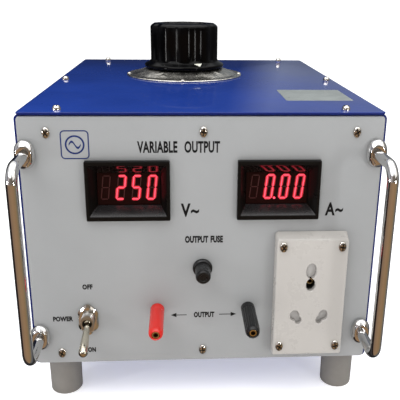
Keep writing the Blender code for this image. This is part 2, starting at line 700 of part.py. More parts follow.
def build_knob():
    """Large lobed knob with a skirt, on its dished dial plate."""
    axis = (KNOB_X, KNOB_DEPTH, CASE_HEIGHT)
    skirt_top = KNOB_LIFT + SKIRT_HEIGHT
    skirt = [(0.0, skirt_top + 0.002), (KNOB_RADIUS - 0.003, skirt_top + 0.002)]
    skirt += [(KNOB_RADIUS, skirt_top), (SKIRT_RADIUS, KNOB_LIFT + 0.0030), (SKIRT_RADIUS, KNOB_LIFT)]
    skirt += [(0.0, KNOB_LIFT)]
    knob = turned("control_knob", skirt, BLACK_PLASTIC, CASE, axis, 40)
    body_low = KNOB_LIFT + 0.001
    outline = lobed_outline(KNOB_RADIUS, 10, 0.0016, 4)
    body = place("join_body", flat_mesh(outline, KNOB_TOP - body_low), None, CASE,
                 (KNOB_X, KNOB_DEPTH, CASE_HEIGHT + body_low))
    bevel(body, 0.0022, 1, 50)
    combine(knob, body, 'UNION')
    bore_top = KNOB_TOP - 0.010 + GAP
    bore_depth = 0.060
    cut_round([knob], SHAFT_RADIUS + GAP, bore_depth, CASE,
              (KNOB_X, KNOB_DEPTH, CASE_HEIGHT + bore_top - bore_depth / 2), 16)

    sheet = 0.0012
    rise_start = DIAL_RADIUS - 0.005
    crown = 0.042
    hole = 0.0096
    plate = [(crown, DIAL_RISE), (rise_start, GAP + sheet), (DIAL_RADIUS, GAP + sheet)]
    plate += [(DIAL_RADIUS, GAP), (rise_start, GAP), (crown, DIAL_RISE - sheet)]
    plate += [(hole, DIAL_RISE - sheet), (hole, DIAL_RISE)]
    turned("dial_plate", plate, NICKEL, CASE, axis, 36, closed=True)


# ---- Wiring pieces inside and at the back -------------------------------------------------
def build_electrics():
    """Terminal block and current transformer on the floor, and the mains inlet at the back."""
    floor = SHEET + GAP
    block_size = (0.080, 0.022, 0.018)
    block = place("terminal_block", box_mesh(block_size), WHITE_PLASTIC, CASE,
                  (-0.060, 0.090, floor + block_size[2] / 2))
    for index in range(6):
        cut_round([block], 0.0026, 0.012, CASE,
                  (-0.0925 + index * 0.013, 0.090, floor + block_size[2]), 10)
    ring = tube_profile(0.021, 0.008, floor, floor + 0.016, 0.002)
    turned("current_transformer", ring, BLACK_PLASTIC, CASE, (0.060, 0.090, 0.0), 20, closed=True)

    flange_width, flange_height = INLET_FLANGE
    flange_depth = REAR_PROUD - GAP
    inlet = place("mains_inlet", box_mesh((flange_width, flange_height, flange_depth)),
                  BLACK_PLASTIC, REAR, (INLET_X, INLET_Z, GAP + flange_depth / 2))
    bevel(inlet, 0.0010, 1)
    add_box(inlet, (0.0300, 0.0230, 0.026), REAR, (INLET_X, INLET_Z, 0.002 - 0.013))
    mouth_width, mouth_height = INLET_MOUTH
    cut_box([inlet], (mouth_width, mouth_height, INLET_DEPTH + 0.002), REAR,
            (INLET_X, INLET_Z, REAR_PROUD + 0.001 - INLET_DEPTH / 2))
    blade = (0.0020, 0.0040, 0.0125)
    blade_z = REAR_PROUD - INLET_DEPTH + blade[2] / 2 - 0.001
    for x, y in ((-0.0062, -0.002), (0.0, 0.002), (0.0062, -0.002)):
        add_box(inlet, blade, REAR, (INLET_X + x, INLET_Z + y, blade_z))


# ---- Assembly -----------------------------------------------------------------------------
clear_scene()
PARTS = make_collection("variable_autotransformer")
CUTTERS = make_collection("cutters")
CASE = make_frame("case_frame", (0.0, FRONT_Y, CASE_BASE))
FRONT = make_frame("front_frame", (0.0, 0.0, 0.0), (math.pi / 2, 0.0, 0.0), CASE)
REAR = make_frame("rear_frame", (0.0, CASE_DEPTH, 0.0), (math.pi / 2, 0.0, math.pi), CASE)

shell_piece = build_shell()
cover_piece = build_cover()
panel_piece = build_front_panel()
build_rear_panel()
build_case_screws(shell_piece, cover_piece, panel_piece)
build_feet()
build_handles()
for meter_name, meter_centre in METER_CENTRES.items():
    build_meter(meter_name, meter_centre)
build_switch()
build_fuse()
build_post("red", -1, RED_PLASTIC)
build_post("black", 1, BLACK_PLASTIC)
build_socket()
build_transformer()
build_knob()
build_electrics()
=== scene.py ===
"""Looks of a bench variable autotransformer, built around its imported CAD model.

+X is to the right of someone facing the front panel, +Y to the back, +Z up. Shapes and places are
in millimetres, and to_mesh() and at() turn them into metres. Materials, lights and the camera are
in metres.
"""
from math import atan2, cos, hypot, pi, radians, sin, tan

import bmesh
import bpy
from mathutils import Matrix, Vector


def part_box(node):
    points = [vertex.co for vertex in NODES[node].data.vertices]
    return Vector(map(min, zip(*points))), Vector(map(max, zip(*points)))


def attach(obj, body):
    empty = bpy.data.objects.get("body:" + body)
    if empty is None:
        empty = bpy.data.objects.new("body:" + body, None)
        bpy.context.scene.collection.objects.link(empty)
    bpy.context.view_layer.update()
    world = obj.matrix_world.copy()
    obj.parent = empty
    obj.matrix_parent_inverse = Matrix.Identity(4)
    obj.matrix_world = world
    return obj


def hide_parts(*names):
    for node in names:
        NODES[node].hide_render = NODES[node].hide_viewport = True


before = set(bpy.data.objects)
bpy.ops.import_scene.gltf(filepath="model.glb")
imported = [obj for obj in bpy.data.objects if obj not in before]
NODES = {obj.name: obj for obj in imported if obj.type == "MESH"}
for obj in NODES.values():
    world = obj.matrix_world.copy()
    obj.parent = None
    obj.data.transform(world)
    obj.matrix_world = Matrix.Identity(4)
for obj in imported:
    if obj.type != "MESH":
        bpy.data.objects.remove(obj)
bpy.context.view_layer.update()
MM = 0.001
QUARTER = pi / 2
AXIS = 0.01  # nearest that a turned profile comes to its axis


# ---- Places on the CAD model ----
def low(node):
    """Lowest corner of a CAD node."""
    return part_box(node)[0] / MM


def high(node):
    """Highest corner of a CAD node."""
    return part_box(node)[1] / MM


def middle(node):
    """Middle of a CAD node's box."""
    return (low(node) + high(node)) / 2


def at(x, y, z):
    """Transform to a place."""
    return Matrix.Translation((x * MM, y * MM, z * MM))


def turned(angle, axis):
    """Transform that turns about an axis."""
    return Matrix.Rotation(angle, 4, axis)


FRONT_Y = low("front_panel").y
REAR_Y = high("rear_panel").y
CASE_Z = low("main_shell").z
LID_Z = high("top_cover").z
KNOB_X, KNOB_Y, _ = middle("dial_plate")

# Axes on the front: x right, y up, z out of the panel. The rear's are the same for someone behind.
FRONT = at(0, FRONT_Y, CASE_Z) @ turned(QUARTER, "X")
REAR = at(0, REAR_Y, CASE_Z) @ turned(pi, "Z") @ turned(QUARTER, "X")
LID = at(0, FRONT_Y, LID_Z)
KNOB = at(KNOB_X, KNOB_Y, LID_Z)


def on_front(node):
    """(x, height) of a node's middle in the front panel's axes."""
    point = middle(node)
    return point.x, point.z - CASE_Z


# ---- Mesh helpers ----
def linked(name, data):
    """New object in the scene."""
    made = bpy.data.objects.new(name, data)
    bpy.context.scene.collection.objects.link(made)
    return made


def to_mesh(work, angle=38):
    """Finish a bmesh: to metres, welded, faced outwards, and smooth below an angle in degrees."""
    bmesh.ops.scale(work, vec=(MM, MM, MM), verts=work.verts)
    bmesh.ops.remove_doubles(work, verts=work.verts, dist=1e-7)
    bmesh.ops.recalc_face_normals(work, faces=work.faces)
    mesh = bpy.data.meshes.new("piece")
    work.to_mesh(mesh)
    work.free()
    mesh.shade_smooth()
    mesh.set_sharp_from_angle(angle=radians(angle))
    return mesh


def loft(rings, closed=False, angle=38):
    """Skin over rings of the same number of points, with end caps unless it closes on itself."""
    work = bmesh.new()
    rows = [[work.verts.new(point) for point in ring] for ring in rings]
    pairs = list(zip(rows, rows[1:]))
    if closed:
        pairs.append((rows[-1], rows[0]))
    for first, second in pairs:
        for index in range(len(first)):
            following = (index + 1) % len(first)
            corners = (first[index], first[following], second[following], second[index])
            work.faces.new(corners)
    if not closed:
        work.faces.new(rows[0])
        work.faces.new(rows[-1])
    bmesh.ops.dissolve_degenerate(work, edges=work.edges, dist=1e-5)
    return to_mesh(work, angle)


def lathe(profile, steps=48, closed=False, shape=None, angle=38):
    """Turned body of (radius, height) points; shape(angle, radius, height) changes the radius."""
    rings = []
    for radius, height in profile:
        ring = []
        for step in range(steps):
            turn = 2 * pi * step / steps
            reach = radius if shape is None else shape(turn, radius, height)
            reach = max(reach, AXIS)
            ring.append((reach * cos(turn), reach * sin(turn), height))
        rings.append(ring)
    return loft(rings, closed, angle)


def rounded(points, radius_steps=4):
    """Profile with each (x, z, r) corner replaced by a curve that begins and ends r away from it."""
    made = []
    count = len(points)
    for index, point in enumerate(points):
        radius = point[2] if len(point) > 2 else 0
        if radius == 0 or index in (0, count - 1):
            made.append((point[0], point[1]))
            continue
        here = Vector(point[:2])
        before = Vector(points[index - 1][:2]) - here
        after = Vector(points[index + 1][:2]) - here
        reach = min(radius, before.length * 0.49, after.length * 0.49)
        start = here + before.normalized() * reach
        end = here + after.normalized() * reach
        for step in range(radius_steps + 1):
            share = step / radius_steps
            bend = start * (1 - share) ** 2 + here * 2 * share * (1 - share) + end * share ** 2
            made.append((bend.x, bend.y))
    return made


def arc(x, y, radius, start, end, steps):
    """Points of an arc round (x, y), from one angle in degrees to another."""
    turns = [radians(start + (end - start) * step / steps) for step in range(steps + 1)]
    return [(x + radius * cos(turn), y + radius * sin(turn)) for turn in turns]


def rectangle(width, height, z, radius, centre=(0, 0), low_radius=None, steps=4):
    """Ring of points round a rectangle with round corners."""
    ring = []
    low_radius = radius if low_radius is None else low_radius
    corners = ((1, 1, 0, radius), (-1, 1, 90, radius), (-1, -1, 180, low_radius),
               (1, -1, 270, low_radius))
    for side_x, side_y, start, corner in corners:
        x = centre[0] + side_x * (width / 2 - corner)
        y = centre[1] + side_y * (height / 2 - corner)
        ring += [(*point, z) for point in arc(x, y, corner, start, start + 90, steps)]
    return ring


def slab(width, height, back, front, corner, edge, centre=(0, 0), steps=4, both=True):
    """Plate with round corners and rounded edges on its front, and on its back too where both."""
    levels = [(edge, back)]
    if both:
        levels = [(x, back + edge + z) for x, z in arc(0, 0, edge, -90, 0, steps)]
    levels += [(x, front - edge + z) for x, z in arc(0, 0, edge, 0, 90, steps)]
    return loft([rectangle(width - 2 * (edge - x), height - 2 * (edge - x), z, corner, centre)
                 for x, z in levels])


def box(size, centre, edge=0, segments=3):
    """Box with rounded edges."""
    work = bmesh.new()
    matrix = Matrix.Translation(centre) @ Matrix.Diagonal((*size, 1))
    bmesh.ops.create_cube(work, size=1, matrix=matrix)
    if edge:
        bmesh.ops.bevel(work, geom=work.edges[:], offset=edge, segments=segments, profile=0.5,
                        affect='EDGES')
    return to_mesh(work)


def tube(path, radius, steps=24):
    """Round bar along a path of points that stays in one plane."""
    rings = []
    for index, point in enumerate(path):
        before = path[max(index - 1, 0)]
        after = path[min(index + 1, len(path) - 1)]
        along = (after - before).normalized()
        side = Vector((1, 0, 0))
        across = along.cross(side).normalized()
        ring = []
        for step in range(steps):
            turn = 2 * pi * step / steps
            ring.append(point + radius * (cos(turn) * side + sin(turn) * across))
        rings.append(ring)
    return loft(rings)


def joined(*meshes):
    """One mesh of several bodies."""
    work = bmesh.new()
    for mesh in meshes:
        work.from_mesh(mesh)
    made = bpy.data.meshes.new("piece")
    work.to_mesh(made)
    work.free()
    return made


def moved(mesh, matrix):
    """The mesh, after a transform."""
    mesh.transform(matrix)
    if matrix.determinant() < 0:
        mesh.flip_normals()
    return mesh


def cut(mesh, *tools, angle=38):
    """The mesh less each tool's volume."""
    piece = linked("cut_piece", mesh)
    holders = [piece]
    for tool in tools:
        holders.append(linked("cut_tool", tool))
        modifier = piece.modifiers.new("cut", 'BOOLEAN')
        modifier.operation = 'DIFFERENCE'
        modifier.solver = 'EXACT'
        modifier.object = holders[-1]
    graph = bpy.context.evaluated_depsgraph_get()
    made = bpy.data.meshes.new_from_object(piece.evaluated_get(graph))
    for holder in holders:
        bpy.data.objects.remove(holder, do_unlink=True)
    made.materials.clear()
    made.shade_smooth()
    made.set_sharp_from_angle(angle=radians(angle))
    return made


def oval(half_width, half_height, centre, back, front, flare=0, steps=32):
    """Oval prism for a hole, with a mouth that widens over the last part of its length."""
    rings = []
    for z, more in ((back, 0), (front - flare, 0), (front + flare, 2 * flare)):
        ring = []
        for step in range(steps):
            turn = 2 * pi * step / steps
            ring.append((centre[0] + (half_width + more) * cos(turn),
                         centre[1] + (half_height + more) * sin(turn), z))
        rings.append(ring)
    return loft(rings)


def prism(outline, back, front):
    """Flat body of a 2D outline."""
    return loft([[(x, y, back) for x, y in outline], [(x, y, front) for x, y in outline]])


# ---- Materials ----
def linear(*levels):
    """Scene-linear colour of 0-255 display levels."""
    made = []
    for level in levels:
        share = level / 255
        made.append(share / 12.92 if share <= 0.04045 else ((share + 0.055) / 1.055) ** 2.4)
    return (*made, 1.0)


def add_node(tree, kind, settings=(), **links):
    """Add a node to a tree; links are sockets or values for its inputs, by name or _number."""
    made = tree.nodes.new(kind)
    for name, value in dict(settings).items():
        setattr(made, name, value)
    for name, value in links.items():
        socket = made.inputs[int(name[1:])] if name[1:].isdigit() else made.inputs[name]
        if isinstance(value, bpy.types.NodeSocket):
            tree.links.new(value, socket)
        else:
            socket.default_value = value
    return made


class Shader:
    """A Principled material under construction."""

    def __init__(self, name, colour, roughness, metallic=0.0, **constants):
        self.material = bpy.data.materials.new(name)
        self.material.use_nodes = True
        self.tree = self.material.node_tree
        self.surface = self.tree.nodes["Principled BSDF"]
        self.colour = colour
        self.material.diffuse_color = colour
        self.set(Base_Color=colour, Roughness=roughness, Metallic=metallic, **constants)
        self.roughness = roughness
        self.last = colour
        self.place = self.node("ShaderNodeTexCoord").outputs["Object"]

    def set(self, **constants):
        """Set sockets by name, with _ for a space."""
        for name, value in constants.items():
            self.surface.inputs[name.replace("_", " ")].default_value = value
        return self

    def node(self, kind, settings=(), **links):
        """Add a node."""
        return add_node(self.tree, kind, settings, **links)

    def link(self, value, name):
        """Feed an input of the surface."""
        self.tree.links.new(value, self.surface.inputs[name])

    def noise(self, scale, detail=4.0, stretch=None, roughness=0.55):
        """Noise in object space; stretch scales the axes apart."""
        place = self.place
        if stretch is not None:
            place = self.node("ShaderNodeMapping", Vector=place, Scale=stretch).outputs[0]
        made = self.node("ShaderNodeTexNoise", Vector=place, Scale=scale, Detail=detail,
                         Roughness=roughness)
        return made.outputs["Fac"]

    def range(self, value, low_in, high_in, low_out, high_out):
        """Map a value from one range to another."""
        made = self.node("ShaderNodeMapRange", {"clamp": True}, _0=value, _1=low_in, _2=high_in,
                         _3=low_out, _4=high_out)
        return made.outputs[0]

    def math(self, operation, first, second=0.0):
        """One Math node."""
        return self.node("ShaderNodeMath", {"operation": operation}, _0=first, _1=second).outputs[0]

    def mix(self, factor, first, second):
        """Mix of two colours."""
        made = self.node("ShaderNodeMix", {"data_type": 'RGBA'}, Factor=factor, _6=first, _7=second)
        return made.outputs[2]

    def tint(self, amount, scale=40.0, stretch=None):
        """Vary the colour in soft clouds."""
        dark = tuple(channel * (1 - amount) for channel in self.colour[:3]) + (1.0,)
        light = tuple(min(channel * (1 + amount), 1.0) for channel in self.colour[:3]) + (1.0,)
        cloud = self.range(self.noise(scale, stretch=stretch), 0.3, 0.7, 0.0, 1.0)
        self.last = self.mix(cloud, dark, light)
        self.link(self.last, "Base Color")
        return self

    def stain(self, colour, low_in, high_in, scale, stretch=None, amount=1.0):
        """Patches of a second colour over the first."""
        patch = self.range(self.noise(scale, 6.0, stretch, 0.65), low_in, high_in, 0.0, amount)
        self.last = self.mix(patch, self.last, colour)
        self.link(self.last, "Base Color")
        return self

    def smear(self, amount, scale=30.0, stretch=None):
        """Vary the roughness, as handling does."""
        level = self.noise(scale, 6.0, stretch, 0.7)
        low_out = max(self.roughness - amount, 0.02)
        made = self.range(level, 0.3, 0.7, low_out, self.roughness + amount)
        self.link(made, "Roughness")
        return self

    def relief(self, height, distance, strength=1.0):
        """Bump from a height value."""
        chain = {"Normal": self.bump_normal} if hasattr(self, "bump_normal") else {}
        made = self.node("ShaderNodeBump", Height=height, Distance=distance, Strength=strength, **chain)
        self.bump_normal = made.outputs[0]
        self.link(self.bump_normal, "Normal")
        return self

    def grain(self, scale, distance, stretch=None, detail=2.0):
        """Fine bump of moulded, sprayed or drawn surfaces."""
        return self.relief(self.noise(scale, detail, stretch), distance)


def turned_metal(name, colour, roughness, streaks=0.05):
    """Metal with clouded tone and smeared gloss."""
    return (Shader(name, colour, roughness, 1.0).tint(0.08, 90.0).smear(streaks, 140.0)
            .grain(900.0, 0.00001))


def plastic(name, colour, roughness, grain=0.00001, grain_scale=1800.0, **constants):
    """Moulded plastic with a fine grain and some handling marks."""
    return (Shader(name, colour, roughness, **constants).tint(0.07, 50.0)
            .smear(roughness * 0.25, 60.0).grain(grain_scale, grain))


def glowing(name, colour, strength):
    """Light-emitting segment, a little brighter in places; also used for painted glow."""
    shader = Shader(name, colour, 0.4)
    cloud = shader.range(shader.noise(700.0), 0.3, 0.7, 0.85, 1.15)
    shader.set(Emission_Color=colour)
    shader.link(shader.math("MULTIPLY", cloud, strength), "Emission Strength")
    return shader


BLUE = linear(27, 58, 143)
blue_paint = (Shader("blue_enamel", BLUE, 0.32, Coat_Weight=1.0, Coat_Roughness=0.05, Coat_IOR=1.5,
                     Specular_IOR_Level=0.08)
              .tint(0.10, 12.0).stain(linear(44, 60, 150), 0.60, 0.75, 9.0, amount=0.5)
              .smear(0.06, 25.0).grain(420.0, 0.00001).grain(2600.0, 0.000004))
# Painted shade: a darker copy of the blue enamel for the faces that look to the front, so that the lip
# reads as lying in shade.
blue_painted_shade = Shader("blue_enamel_painted_shade", linear(10, 26, 92), 0.4, Specular_IOR_Level=0.15)
blue_painted_shade.tint(0.08, 60.0).grain(900.0, 0.00001)
grey_paint = (Shader("grey_powder_coat", linear(143, 145, 146), 0.42)
              .tint(0.025, 18.0).stain(linear(139, 142, 141), 0.62, 0.80, 7.0, amount=0.5)
              .smear(0.07, 22.0).grain(1900.0, 0.00003).grain(5200.0, 0.00001))
chrome = (Shader("polished_chrome", (0.70, 0.695, 0.69, 1.0), 0.08, 1.0).tint(0.04, 60.0)
          .smear(0.035, 120.0).grain(300.0, 0.000006))
satin_chrome = turned_metal("satin_chrome", (0.60, 0.56, 0.46, 1.0), 0.16, 0.06)
nickel = turned_metal("bright_nickel", (0.70, 0.67, 0.62, 1.0), 0.14, 0.08)
# Painted shade: near-black nickel for the faces inside screw recesses, where shade falls.
recess_painted_shade = turned_metal("recess_painted_shade_nickel", (0.10, 0.09, 0.08, 1.0), 0.45)
brass = turned_metal("brass", (0.71, 0.54, 0.27, 1.0), 0.26)
steel = turned_metal("zinc_steel", (0.52, 0.52, 0.51, 1.0), 0.36)
aluminium = (turned_metal("cast_aluminium", (0.62, 0.63, 0.64, 1.0), 0.45)
             .grain(220.0, 0.0001, detail=6.0))
black_plastic = plastic("black_moulding", linear(15, 15, 16), 0.32, 0.00002, Specular_IOR_Level=0.35)
gloss_black = plastic("gloss_black_moulding", linear(3, 3, 4), 0.13, 0.000004, 900.0,
                      Specular_IOR_Level=0.10)
meter_black = plastic("meter_moulding", linear(12, 10, 9), 0.32, 0.000006, 1400.0,
                      Specular_IOR_Level=0.12)
mirror_black = plastic("polished_moulding", linear(14, 11, 10), 0.07, 0.000002, 1400.0)
# Painted light: a lighter, shinier copy of the meter moulding for the upward faces of the meter mouths.
satin_black_painted_light = plastic("satin_moulding_painted_light", linear(30, 28, 29), 0.26, 0.000006, 1400.0,
                      Specular_IOR_Level=0.45)
red_plastic = plastic("red_moulding", linear(194, 34, 26), 0.24, 0.00001)
white_plastic = plastic("ivory_moulding", linear(168, 165, 161), 0.30, 0.00001, 1500.0)
white_plastic.tint(0.015, 12.0)
grey_plastic = (plastic("grey_moulding", linear(123, 120, 115), 0.55, 0.00005, 1500.0)
                .stain(linear(112, 108, 103), 0.52, 0.75, 40.0, amount=0.7))
shutter_plastic = plastic("shutter_moulding", linear(172, 170, 168), 0.45)
red_filter = (Shader("red_filter", linear(24, 5, 6), 0.10, Specular_IOR_Level=0.12)
              .tint(0.15, 200.0).smear(0.03, 90.0))
enamel_wire = Shader("enamelled_wire", (0.42, 0.15, 0.055, 1.0), 0.28, 0.75).tint(0.15, 60.0)
core_steel = Shader("wound_core_steel", (0.13, 0.135, 0.15, 1.0), 0.42, 0.85).tint(0.12, 90.0)
carbon = plastic("carbon", (0.030, 0.030, 0.032, 1.0), 0.60, 0.00004, 3000.0)
glass = Shader("fuse_glass", (0.80, 0.86, 0.84, 1.0), 0.04, IOR=1.5, Transmission_Weight=0.8)
glass.tint(0.05, 90.0).smear(0.02, 200.0)
ink = (Shader("black_ink", linear(13, 14, 17), 0.45, Specular_IOR_Level=0.2).tint(0.20, 500.0)
       .grain(4000.0, 0.000004))
blue_ink = (Shader("blue_ink", linear(14, 36, 92), 0.40, Specular_IOR_Level=0.2)
            .tint(0.15, 400.0).grain(4000.0, 0.000004))
white_ink = Shader("white_ink", linear(236, 238, 224), 0.40).tint(0.05, 500.0)
LIT_COLOUR = (1.0, 0.045, 0.085, 1.0)
lit = glowing("lit_segment", LIT_COLOUR, 1.9)
# Painted glow: a red halo round the lit segments, and a faint glow on the unlit ones, emitting though they
# are no lamps.
painted_glow = glowing("segment_painted_glow", (0.35, 0.004, 0.012, 1.0), 0.42)
unlit_painted_glow = glowing("unlit_segment_painted_glow", (0.045, 0.003, 0.005, 1.0), 0.06)


def centred(shader):
    """Object space about the knob's axis."""
    return shader.node("ShaderNodeMapping", Vector=shader.place,
                       Location=(-KNOB_X * MM, -KNOB_Y * MM, 0.0)).outputs[0]


# Turns of wire round the winding.
WIRE_TURNS = 220
turn = enamel_wire.node("ShaderNodeTexGradient", {"gradient_type": 'RADIAL'},
                        Vector=centred(enamel_wire))
wave = enamel_wire.math("MULTIPLY", turn.outputs["Fac"], 2 * pi * WIRE_TURNS)
enamel_wire.relief(enamel_wire.math("SINE", wave), 0.0006).smear(0.08, 90.0)

# Layers of strip in the core, one to a millimetre.
flat = core_steel.node("ShaderNodeVectorMath", {"operation": 'MULTIPLY'}, _0=centred(core_steel),
                       _1=(1.0, 1.0, 0.0)).outputs[0]
reach = core_steel.node("ShaderNodeVectorMath", {"operation": 'LENGTH'}, _0=flat)
wave = core_steel.math("MULTIPLY", reach.outputs["Value"], 2 * pi / MM)
core_steel.relief(core_steel.math("SINE", wave), 0.0002).smear(0.08, 90.0)

# The dial plate is dented and grained, so that its reflections break up.
dial_metal = (Shader("spun_nickel", (0.60, 0.58, 0.53, 1.0), 0.26, 1.0).tint(0.14, 45.0)
              .stain((0.30, 0.27, 0.22, 1.0), 0.55, 0.75, 70.0, amount=0.6)
              .smear(0.09, 110.0).grain(60.0, 0.0016, detail=3.0).grain(900.0, 0.00002))
label_foil = (Shader("label_foil", linear(152, 158, 156), 0.34, 0.3).tint(0.10, 80.0)
              .smear(0.08, 200.0).grain(500.0, 0.00001))


# ---- Pieces ----
THROUGH = (-10, 10)  # back and front of a tool that cuts through a plate


def paint(mesh, *shaders):
    """Give the mesh these materials, in order."""
    for shader in shaders:
        mesh.materials.append(shader.material)


def add(name, mesh, shader, replaced=None, matrix=None, body="case", place=None):
    """Add a piece; matrix goes into its mesh, and place into its object for a shared mesh."""
    if matrix is not None:
        moved(mesh, matrix)
    mesh.name = name
    if not mesh.materials:
        paint(mesh, shader)
    piece = linked(name, mesh)
    if place is not None:
        piece.matrix_world = place
    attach(piece, body)
    if replaced:
        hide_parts(replaced)


def front_shaded(mesh):
    """The mesh, with a darker blue painted as shade on the faces that look to the front."""
    paint(mesh, blue_paint, blue_painted_shade)
    # Painted shade: faces that look to the front take the darker blue.
    for face in mesh.polygons:
        if face.normal.y < -0.6:
            face.material_index = 1
    return mesh


def build_case():
    """Blue body and cover, grey front and rear plates."""
    lowest, highest = low("main_shell"), high("main_shell")
    size = highest - lowest
    centre = (lowest + highest) / 2
    sheet = 1.6
    flange = 18
    body = slab(size.x, size.z, 0, size.y, 4.2, 0.45, steps=4)
    moved(body, at(centre.x, highest.y, centre.z) @ turned(QUARTER, "X"))
    inside = box((size.x - 2 * sheet, size.y - 2 * sheet, size.z - 2 * sheet), centre)
    through = box((size.x - 2 * flange, size.y * 2, size.z - 2 * flange), centre)
    strip = 52
    roof = box((size.x - 2 * flange, size.y - strip - flange, 20),
               (centre.x, centre.y + (strip - flange) / 2, highest.z))
    add("case_body", front_shaded(cut(body, inside, through, roof)), blue_paint,
        "main_shell")

    size = high("top_cover") - low("top_cover")
    cover = slab(size.x, size.y, -size.z, 0, 3, 0.45, (0, size.y / 2 - 1))
    hole = oval(9.5, 9.5, (KNOB_X, KNOB_Y - FRONT_Y), *THROUGH)
    add("cover_plate", front_shaded(cut(cover, hole)), blue_paint, "top_cover", LID)

    for node, axes in (("front_panel", FRONT), ("rear_panel", REAR)):
        size = high(node) - low(node)
        rise = middle(node).z - CASE_Z
        plate = slab(size.x, size.z, -size.y, 0, 3.2, 1.3, (0, rise), 5, False)
        tools = []
        if node == "front_panel":
            for meter in ("voltmeter_case", "ammeter_case"):
                x, height = on_front(meter)
                tools.append(box((64.6, 46.6, 20), (x, height, 0)))
            for part, radius in (("switch_nut", 6.3), ("fuse_holder", 6.7), ("red_post_base", 3.8),
                                 ("black_post_base", 3.8)):
                tools.append(oval(radius, radius, on_front(part), *THROUGH))
            x, height = on_front("socket_plate")
            tools.append(box((46.6, 86.6, 20), (x, height, 0)))
        else:
            inlet_x, inlet_z = -middle("mains_inlet").x, middle("mains_inlet").z - CASE_Z
            tools.append(box((31.2, 24.2, 20), (inlet_x, inlet_z, 0)))
            for column in (-1, 1):
                for row in range(6):
                    vent = rectangle(40, 4, 0, 1.95, (column * 60, 120 + 12 * row))
                    tools.append(prism([(x, y) for x, y, _ in vent], *THROUGH))
        add(node.replace("_panel", "_plate"), cut(plate, *tools), grey_paint, node, axes)


def build_feet():
    """Moulded feet with a recess for a fixing screw underneath."""
    for row in ("front", "rear"):
        for side in ("left", "right"):
            node = f"foot_{row}_{side}"
            point = middle(node)
            height = high(node).z
            profile = rounded([(0, height), (15, height, 0.8), (14.6, 0, 2.2), (12, 0, 0.6),
                               (11.6, 1.2, 0.3), (6, 1.2, 0.5), (5.8, 12), (0, 12)])
            add(f"moulded_{node}", lathe(profile, 56), grey_plastic,
                node, at(point.x, point.y, 0))


def build_handles():
    """Chrome bars and their turned ferrules."""
    bar = 4.6
    bend = 13
    for side in ("left", "right"):
        lowest, highest = low(f"handle_{side}"), high(f"handle_{side}")
        x = (lowest.x + highest.x) / 2
        bottom, top = lowest.z + bar - CASE_Z, highest.z - bar - CASE_Z
        reach = FRONT_Y - lowest.y - bar
        path = [(0.3, bottom), *arc(reach - bend, bottom + bend, bend, -90, 0, 12),
                *arc(reach - bend, top - bend, bend, 0, 90, 12), (0.3, top)]
        points = [Vector((0, height, out)) for out, height in path]
        place = FRONT @ at(x, 0, 0)
        add(f"chrome_bar_{side}", tube(points, bar, 32), chrome, f"handle_{side}", place)
        profile = rounded([(4.75, 0.3), (8.3, 0.3, 0.4), (8.3, 3.2, 1.4), (7.6, 5.2, 1.6),
                           (6.2, 7.4, 1), (4.75, 7.4)], 6)

        def oblong(turn, radius, z):
            """Taller than it is wide outside, and round in the bore."""
            share = (radius - 4.75) / 3.55
            return radius + 4 * share * sin(turn) ** 2

        for level, height in (("lower", bottom), ("upper", top)):
            add(f"ferrule_{side}_{level}", lathe(profile, 56, True, oblong), chrome,
                f"handle_ferrule_{side}_{level}", place @ at(0, height, 0))


def cross(arm, half_width, z):
    """Ring of points round a cross."""
    corners = [Vector((half_width, half_width)), Vector((half_width, arm)), Vector((-half_width, arm))]
    turns = [Matrix.Rotation(QUARTER * quarter, 2) for quarter in range(4)]
    return [(*(turn @ corner), z) for turn in turns for corner in corners]


def screw_mesh(head, shank, length, dome=2.5, turn=0, tall=1):
    """Pan-head machine screw with a cross recess; its seat is at z = 0, and tall stretches its head."""
    profile = rounded([(0, dome), (head * 0.55, dome * 0.96, head * 0.2),
                       (head * 0.93, dome * 0.55, head * 0.25), (head, 0.35, 0.3), (head * 0.98, 0.05),
                       (shank, 0.05), (shank, -length), (0, -length)], 5)
    tool = loft([cross(head * 0.74, head * 0.19, dome + 0.3),
                 cross(head * 0.56, head * 0.13, dome * 0.45),
                 cross(head * 0.16, head * 0.06, dome * 0.2)])
    mesh = moved(cut(lathe(profile, 40), tool, angle=30), turned(turn, "Z"))
    paint(mesh, nickel, recess_painted_shade)
    # Painted shade: the faces inside the cross recess take the dark nickel.
    for face in mesh.polygons:
        centre = face.center / MM
        if 0 < centre.z < dome * 0.85 and centre.xy.length < head * 0.7:
            face.material_index = 1
    for vertex in mesh.vertices:
        if vertex.co.z > 0:
            vertex.co.y *= tall
    return mesh


def build_screws():
    """Cover, panel and socket screws, each with its recess turned its own way."""
    names = sorted(name for name in NODES if "_screw_" in name)
    for index, name in enumerate(names):
        point = middle(name)
        turn = radians(17 + 37 * index)
        seat = 2.5
        if name.startswith("cover"):
            place = at(point.x, point.y, high(name).z - seat)
            mesh = screw_mesh(3.6, 1.5, 6.5, 4.2, turn)
        else:
            place = at(point.x, low(name).y + seat, point.z) @ turned(QUARTER, "X")
            mesh = screw_mesh(3.5, 1.5, 6.5, 2.5, turn, 1.38)
        add(f"fixing_{name}", mesh, nickel, name, place)


# ---- Meters ----
SEGMENTS = {"a": (0, 2, 1, 2), "b": (1, 2, 1, 1), "c": (1, 1, 1, 0), "d": (0, 0, 1, 0),
            "e": (0, 0, 0, 1), "f": (0, 1, 0, 2), "g": (0, 1, 1, 1)}
NUMERALS = {"0": "abcdef", "2": "abged", "5": "afgcd", " ": ""}
DIGIT_WIDTH = 6
DIGIT_HALF = 10.2
DIGIT_PITCH = 12.9
DIGIT_LEAN = tan(radians(6.5))


